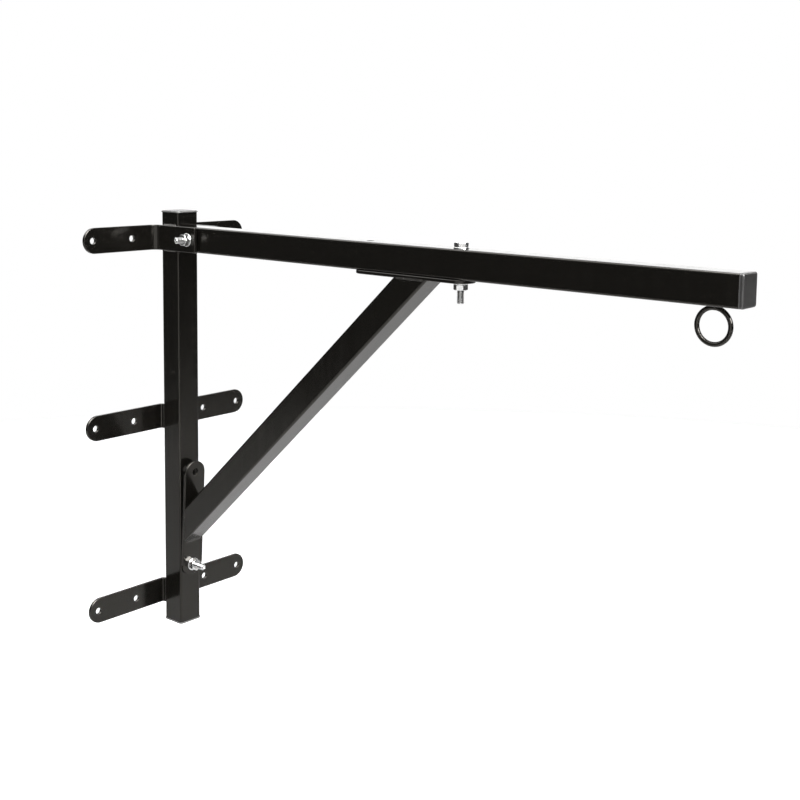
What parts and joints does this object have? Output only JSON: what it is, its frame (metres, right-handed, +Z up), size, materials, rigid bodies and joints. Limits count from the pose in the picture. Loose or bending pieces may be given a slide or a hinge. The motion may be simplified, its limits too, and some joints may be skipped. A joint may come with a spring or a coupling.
{
  "type": "punch bag wall bracket",
  "caption": "Wall bracket with an upright post on straps, a long level arm, a diagonal brace and a welded ring under the arm's end that a punch bag hangs from.",
  "frame": {"origin": "on the wall, on the symmetry plane, at the centre of the middle strap's hole line; also the centre of the rectangle of the outermost wall holes", "axes": "+X points away from the wall along the arm, +Z is up, +Y completes the right hand and runs along the straps"},
  "size_m": [1.01, 0.32, 0.674],
  "materials": {
    "black_paint": "gloss black baked enamel over steel",
    "zinc_plate": "bright zinc plate",
    "black_plastic": "satin moulded polyethylene"
  },
  "bodies": {
    "root": {"arm": "black_paint", "arm_end_cap": "black_plastic", "arm_plate_bolt": "zinc_plate", "arm_plate_head_washer": "zinc_plate", "arm_plate_nut": "zinc_plate", "arm_plate_nut_washer": "zinc_plate", "bottom_strap": "black_paint", "brace_arm_plate": "black_paint", "brace_post_plate": "black_paint", "brace_tube": "black_paint", "brace_welds": "black_paint", "bracket_welds": "black_paint", "hanging_ring": "black_paint", "middle_strap": "black_paint", "pivot_bolt": "zinc_plate", "pivot_head_washer": "zinc_plate", "pivot_nut": "zinc_plate", "pivot_nut_washer": "zinc_plate", "post": "black_paint", "post_cap_bottom": "black_plastic", "post_cap_top": "black_plastic", "post_plate_bolt": "zinc_plate", "post_plate_head_washer": "zinc_plate", "post_plate_nut": "zinc_plate", "post_plate_nut_washer": "zinc_plate", "ring_weld": "black_paint", "strap_welds": "black_paint", "top_bracket_left": "black_paint", "top_bracket_right": "black_paint"}
  },
  "joints": []
}
